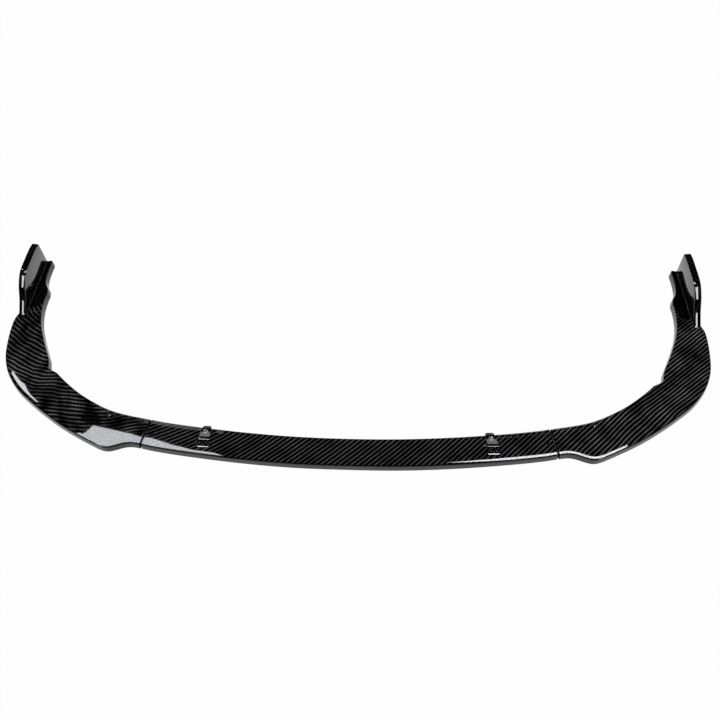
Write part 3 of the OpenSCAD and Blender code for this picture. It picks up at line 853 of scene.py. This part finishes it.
def make_twill_group():
    """Two-over, two-under weave: the strand on top, its round, its fibres, and a slow drift of the film."""
    group, n, given, result = new_group("twill weave", {
        "Place": ("Vector", None), "Strand width": ("Float", STRAND_WIDTH), "Film drift": ("Float", 0.001),
        "Cloud": ("Float", 0.3), "Painted shade": ("Float", 0.0), "Light strand": ("Color", (0.1, 0.1, 0.1, 1)),
        "Dark strand": ("Color", (0.003, 0.003, 0.003, 1))},
        {"Color": "Color", "Sheen mask": "Float", "Height": "Float"})
    slow = n.noise(given["Place"], 11.0, 2.0, 0.45)["Color"]
    drift = n.vector("SCALE", n.vector("SUBTRACT", slow, (0.5, 0.5, 0.5)), given["Film drift"])
    split = n.new("ShaderNodeSeparateXYZ")
    n.feed(split.inputs[0], n.vector("ADD", given["Place"], drift))
    scale = n.math("DIVIDE", math.sqrt(0.5), given["Strand width"])
    a = n.times(n.math("SUBTRACT", split.outputs[0], split.outputs[1]), scale)
    b = n.times(n.math("ADD", split.outputs[0], split.outputs[1]), scale)
    cell_a, cell_b = n.math("FLOOR", a), n.math("FLOOR", b)
    in_a, in_b = n.math("SUBTRACT", a, cell_a), n.math("SUBTRACT", b, cell_b)
    step = n.math("FLOORED_MODULO", n.math("SUBTRACT", cell_a, cell_b), 4.0)
    on_top = n.math("LESS_THAN", step, 1.5)
    # across the strand that lies on top, and along the two crossings that it floats over
    across = n.pick(on_top, in_b, in_a)
    float_over = n.pick(on_top, n.math("ADD", step, in_a), n.math("SUBTRACT", n.math("ADD", 3.0, in_b), step))
    arch = n.math("ABSOLUTE", n.math("SINE", n.times(float_over, QUARTER)))
    off_middle = n.math("ABSOLUTE", n.math("MULTIPLY_ADD", across, 2.0, -1.0))
    rounded = n.math("SUBTRACT", 1.0, n.math("POWER", off_middle, 2.6))
    height = n.times(n.math("POWER", rounded, 0.5), n.math("MULTIPLY_ADD", arch, 0.6, 0.4))
    lit = n.times(n.math("POWER", arch, 4.0), n.math("MULTIPLY_ADD", rounded, 0.6, 0.4))

    def fibres(along, over):
        """Fine streaks along a strand."""
        where = n.new("ShaderNodeCombineXYZ")
        n.feed(where.inputs[0], n.times(along, 0.35))
        n.feed(where.inputs[1], n.times(over, 9.0))
        return n.noise(where.outputs[0], 1.0, 1.0)["Fac"]

    fibre = n.pick(on_top, fibres(a, b), fibres(b, a))
    patch = n.noise(given["Place"], 70.0)["Fac"]
    cloud = n.noise(n.vector("ADD", given["Place"], (3.1, 1.7, 0.0)), 19.0)["Fac"]
    shade = n.times(n.math("MULTIPLY_ADD", fibre, 0.9, 0.55), n.math("MULTIPLY_ADD", patch, 0.8, 0.6))
    swing = n.times(n.math("SUBTRACT", cloud, 0.5), n.times(given["Cloud"], 8.0))
    shade = n.times(shade, n.math("MAXIMUM", n.math("ADD", 1.0, swing), 0.12))
    # painted shade darkens the light strands
    bright = n.times(n.times(shade, lit), n.math("SUBTRACT", 1.0, given["Painted shade"]))
    light = n.vector("MAXIMUM", n.vector("SCALE", given["Light strand"], bright), given["Dark strand"])
    mix = n.new("ShaderNodeMix", data_type="RGBA")
    for k, value in ((0, on_top), (6, n.vector("SCALE", given["Dark strand"], shade)), (7, light)):
        n.feed(mix.inputs[k], value)
    n.feed_all(result, {"Color": mix.outputs[2], "Sheen mask": on_top, "Height": height})
    return group


def make_grain_group():
    """Moulded grain: a fine pebble and slow cloud, for plain black faces."""
    group, n, given, result = new_group("moulded grain", {
        "Color": ("Color", (0.02, 0.02, 0.02, 1)), "Size": ("Float", 0.8), "Unevenness": ("Float", 0.3)},
        {"Color": "Color", "Roughness change": "Float", "Height": "Float"})
    where = n.new("ShaderNodeTexCoord").outputs["Object"]
    pebble = n.noise(n.vector("SCALE", where, n.math("DIVIDE", 1000.0, given["Size"])), 1.0)["Fac"]
    cloud = n.noise(where, 45.0, 3.0)["Fac"]
    spread = n.times(n.math("SUBTRACT", cloud, 0.5), given["Unevenness"])
    colour = n.vector("SCALE", given["Color"], n.math("ADD", 1.0, n.times(spread, 2.0)))
    n.feed_all(result, {"Color": colour, "Roughness change": spread, "Height": pebble})
    return group


def new_finish(name):
    """A material with its own Principled BSDF."""
    material = bpy.data.materials.new(name)
    material.use_nodes = True
    return material, Nodes(material.node_tree), material.node_tree.nodes["Principled BSDF"]


def weave_finish(name, group, drift, cloud, light, dark):
    """Gloss lacquer over the weave."""
    material, n, shader = new_finish(name)
    twill = n.new("ShaderNodeGroup", node_tree=group)
    n.feed_all(twill, {
        "Place": n.new("ShaderNodeUVMap", uv_map="weave_map").outputs[0], "Strand width": STRAND_WIDTH,
        "Film drift": drift, "Cloud": cloud, "Light strand": (*light, 1), "Dark strand": (*dark, 1),
        # painted shade per point, read from the mesh
        "Painted shade": n.new("ShaderNodeAttribute", attribute_name="painted_shade").outputs["Fac"]})
    n.feed_all(shader, {
        "Base Color": twill.outputs["Color"], "Normal": n.bump(twill.outputs["Height"], 0.25),
        "Roughness": n.math("MULTIPLY_ADD", twill.outputs["Sheen mask"], -0.1, 0.55),
        "Specular IOR Level": 0.0, "Coat Weight": 1.0, "Coat Roughness": 0.02, "Coat IOR": 1.5})
    return material


def plain_finish(name, group, colour, roughness, size, unevenness, strength, special):
    """A plain moulded, painted or plated finish with its own grain."""
    material, n, shader = new_finish(name)
    grain = n.new("ShaderNodeGroup", node_tree=group)
    n.feed_all(grain, {"Color": (*colour, 1), "Size": size, "Unevenness": unevenness})
    n.feed_all(shader, {
        "Base Color": grain.outputs["Color"], "Normal": n.bump(grain.outputs["Height"], strength),
        "Roughness": n.math("ADD", grain.outputs["Roughness change"], roughness, clamp=True),
        "Specular IOR Level": 0.4, "Coat Roughness": 0.03, **special})
    return material


def make_finishes():
    """All finishes of the lip, by name."""
    twill, grain = make_twill_group(), make_grain_group()
    finishes = {name: weave_finish(name, twill, *values) for name, values in WEAVE_FINISHES.items()}
    finishes.update({name: plain_finish(name, grain, *values) for name, values in PLAIN_FINISHES.items()})
    return finishes


# Studio

FLOOR_HALF, FLOOR_DROP, FLOOR_PAINT, FLOOR_GLOW = 14.0, 0.0002, (0.86, 0.86, 0.86, 1), 0.98
PANEL_RISE, PANEL_LIGHT = 1500.0, (0.95, 0.967, 1.0, 1)
CEILING_DARK, EVEN_LIGHT = (0.006, 0.006, 0.006, 1), 0.6
CAMERA_PLACE, CAMERA_LENS, SENSOR_WIDTH = (0.12646, -1.14417, 2.01119), 45.0, 36.0
CAMERA_TURN, CAMERA_TILT, CAMERA_ROLL = math.radians(5.28), math.radians(30), math.radians(-3.37)

# Soft boxes hung over the floor: name, brightness seen in gloss, corners in x and y
SOFT_PANELS = [
    ("soft_panel_left", 12.0, [(-1196, 498), (-1027, 463), (-976, 448), (-938, 446), (-872, 426), (-800, 404),
                               (-740, 368), (-670, 330), (-625, 60), (-1440, 60), (-1390, 170), (-1330, 268),
                               (-1280, 359), (-1232, 454)]),
    ("soft_panel_right", 20.0, [(330, 175), (600, 300), (1140, 310), (1250, 60), (600, 60)]),
    ("soft_panel_far_left", 15.0, [(-1621, 758), (-1596, 732), (-1568, 709), (-1541, 690), (-1523, 661),
                                   (-1505, 631), (-1468, 598), (-1510, 578), (-1572, 596), (-1622, 640),
                                   (-1650, 700)]),
    ("soft_panel_fin_left", 16.0, [(-1440, -460), (-1690, -460), (-1774, -799), (-1937, -1177), (-2086, -1481),
                                   (-2311, -1914), (-2800, -2700), (-2560, -2700), (-2080, -1914),
                                   (-1860, -1481), (-1710, -1177), (-1550, -799)]),
    ("soft_panel_fin_right", 16.0, [(1250, -460), (1490, -460), (1577, -799), (1710, -1175), (1829, -1477),
                                    (2008, -1903), (2400, -2700), (2160, -2700), (1790, -1903), (1610, -1477),
                                    (1490, -1175), (1360, -799)]),
    ("soft_panel_bead_left", 1.3, [(-1120, -360), (-700, -360), (-700, -600), (-1120, -600)]),
]


def stage_piece(name, corners):
    """A flat piece of the studio with a material of its own, and that material's nodes and output."""
    mesh = bpy.data.meshes.new(name)
    mesh.from_pydata(corners, [], [tuple(range(len(corners)))])
    material = bpy.data.materials.new(name)
    material.use_nodes = True
    material.node_tree.nodes.clear()
    mesh.materials.append(material)
    piece = new_object(name, mesh)
    n = Nodes(material.node_tree)
    return piece, material, n, n.new("ShaderNodeOutputMaterial").inputs[0]


def seen_share(n, path, *rays):
    """1 for the kinds of ray that are named, 0 for the others."""
    share = path.outputs[f"Is {rays[0]} Ray"]
    for ray in rays[1:]:
        share = n.math("MAXIMUM", share, path.outputs[f"Is {ray} Ray"])
    return share


def make_floor():
    """A pale floor that is white where it is seen, and still takes the object's shadow."""
    r = FLOOR_HALF
    floor, _, n, surface = stage_piece("floor", [(-r, -r, 0), (r, -r, 0), (r, r, 0), (-r, r, 0)])
    floor.location = (0, 0, -FLOOR_DROP)
    paint, glow = n.new("ShaderNodeBsdfDiffuse"), n.new("ShaderNodeEmission")
    n.feed(paint.inputs["Color"], FLOOR_PAINT)
    n.feed_all(glow, {"Color": (1, 1, 1, 1), "Strength": 1.0})
    seen = seen_share(n, n.new("ShaderNodeLightPath"), "Camera", "Glossy", "Transmission")
    n.feed(surface, n.mixed_shader(n.times(seen, FLOOR_GLOW), paint, glow).outputs[0])


def soft_panel(name, strength, corners):
    """A flat soft box over the object, which only shows in gloss."""
    panel, material, n, surface = stage_piece(name, [(x * MM, y * MM, PANEL_RISE * MM) for x, y in corners])
    path, glow = n.new("ShaderNodeLightPath"), n.new("ShaderNodeEmission")
    n.feed_all(glow, {"Color": PANEL_LIGHT,
                      "Strength": n.math("MULTIPLY_ADD", path.outputs["Is Glossy Ray"], strength - 1.0, 1.0)})
    n.feed(surface, glow.outputs[0])
    material.cycles.emission_sampling = "NONE"
    panel.visible_camera = False
    panel.visible_shadow = False


def make_world():
    """An even light, white where it is seen, with a dark ceiling over a white wall where gloss mirrors it."""
    world = bpy.data.worlds.new("studio")
    bpy.context.scene.world = world
    world.use_nodes = True
    world.node_tree.nodes.clear()
    n = Nodes(world.node_tree)
    even, white, room = (n.new("ShaderNodeBackground") for _ in range(3))
    for light, strength in ((even, EVEN_LIGHT), (white, 1.0), (room, 1.0)):
        n.feed(light.inputs["Strength"], strength)
    split, ramp = n.new("ShaderNodeSeparateXYZ"), n.new("ShaderNodeValToRGB")
    n.feed(split.inputs[0], n.new("ShaderNodeTexCoord").outputs["Generated"])
    n.feed(ramp.inputs[0], split.outputs[2])
    for stop, (height, colour) in zip(ramp.color_ramp.elements, ((0.01, (1, 1, 1, 1)), (0.06, CEILING_DARK))):
        stop.position = height
        stop.color = colour
    n.feed(room.inputs["Color"], ramp.outputs[0])
    path = n.new("ShaderNodeLightPath")
    mirrored = n.mixed_shader(path.outputs["Is Glossy Ray"], even, room)
    whole = n.mixed_shader(seen_share(n, path, "Camera", "Transmission"), mirrored, white)
    n.feed(n.new("ShaderNodeOutputWorld").inputs[0], whole.outputs[0])


def make_camera():
    """The photograph's camera, found from the object's left and right symmetry."""
    data = bpy.data.cameras.new("camera")
    data.lens = CAMERA_LENS
    data.sensor_width = SENSOR_WIDTH
    data.clip_end = 60.0
    camera = new_object("camera", data)
    turn = Matrix.Rotation(CAMERA_TURN, 4, "Z") @ Matrix.Rotation(CAMERA_TILT, 4, "X")
    camera.matrix_world = Matrix.Translation(CAMERA_PLACE) @ turn @ Matrix.Rotation(CAMERA_ROLL, 4, "Z")
    bpy.context.scene.camera = camera


# The pieces


def take(piece, slot, *nodes):
    """Says what a piece rides on and which solids it stands for. slot is not used."""
    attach(piece, "root")
    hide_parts(*nodes)


def keep_inside(piece, box):
    """Holds a piece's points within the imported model's box."""
    for vertex in piece.data.vertices:
        vertex.co = [min(max(c, low), high) for c, low, high in zip(vertex.co, *box)]


def make_section(name, line, weave, box, finishes, mirror=False):
    """The centre section, or a side section with its tongue, flange, fin and screw holes."""
    part, centre = Part(), name == "centre"
    loft(part, line, weave, None if centre else painted_fin_shade, (True, centre))
    ribs(part, line, CENTRE_RIBS if centre else SIDE_RIBS)
    used = [f"carbon_weave_{name}", "moulded_underside", "cut_edge_of_skin"]
    if not centre:
        for add in (tongue, seam_flange, fin_plate, fin_fillet, screw_holes):
            add(part)
        used += ["gloss_black_face", "bright_steel", "fin_fillet_grey"]
    piece = part.mesh(f"{name}_section_skin", [finishes[key] for key in used], mirror)
    keep_inside(piece, box)
    take(piece, "blade", f"{name}_section")


def make_fastening(side, what, build, finish, slot, rim_width):
    """A bracket or one of its fasteners, with its edges rounded."""
    part = Part()
    build(part)
    piece = part.mesh(f"{side}_{what}_piece", [finish], side == "left")
    rim = piece.modifiers.new("rounded_edges", "BEVEL")
    rim.width = rim_width * MM
    rim.segments = 3
    rim.limit_method = "ANGLE"
    rim.angle_limit = math.radians(50)
    rim.harden_normals = True
    take(piece, slot, f"{side}_{what}")


# Name, maker, finish, slot, and width of the rounded edges
FASTENINGS = [
    ("bracket", bracket, "bracket_paint", "bracket", 0.45),
    ("bracket_bolt", bolt, "plated_bolt", "bolt", 0.12),
    ("bracket_nut", nut, "plated_bolt", "bolt", 0.12),
    ("bracket_rivets", rivets, "rivet_black", "bolt", 0.1),
    ("seam_screw", seam_screw, "screw_zinc", "screw", 0.1),
]

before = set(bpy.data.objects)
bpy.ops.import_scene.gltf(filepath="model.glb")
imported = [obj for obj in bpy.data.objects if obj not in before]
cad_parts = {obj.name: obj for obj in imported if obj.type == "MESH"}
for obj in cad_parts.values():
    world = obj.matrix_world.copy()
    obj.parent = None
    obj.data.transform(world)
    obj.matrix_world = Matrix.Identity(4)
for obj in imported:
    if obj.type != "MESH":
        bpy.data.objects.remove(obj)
frame_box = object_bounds()
make_camera()

lip_finishes = make_finishes()
make_section("centre", centre_line(), centre_weave, frame_box, lip_finishes)
make_section("right", side_line(), right_weave, frame_box, lip_finishes)
make_section("left", side_line(), left_weave, frame_box, lip_finishes, mirror=True)
for side in ("right", "left"):
    for what, build, finish, slot, rim_width in FASTENINGS:
        make_fastening(side, what, build, lip_finishes[finish], slot, rim_width)

make_floor()
make_world()
for name, strength, corners in SOFT_PANELS:
    soft_panel(name, strength, corners)
bpy.context.scene.view_settings.view_transform = "Standard"
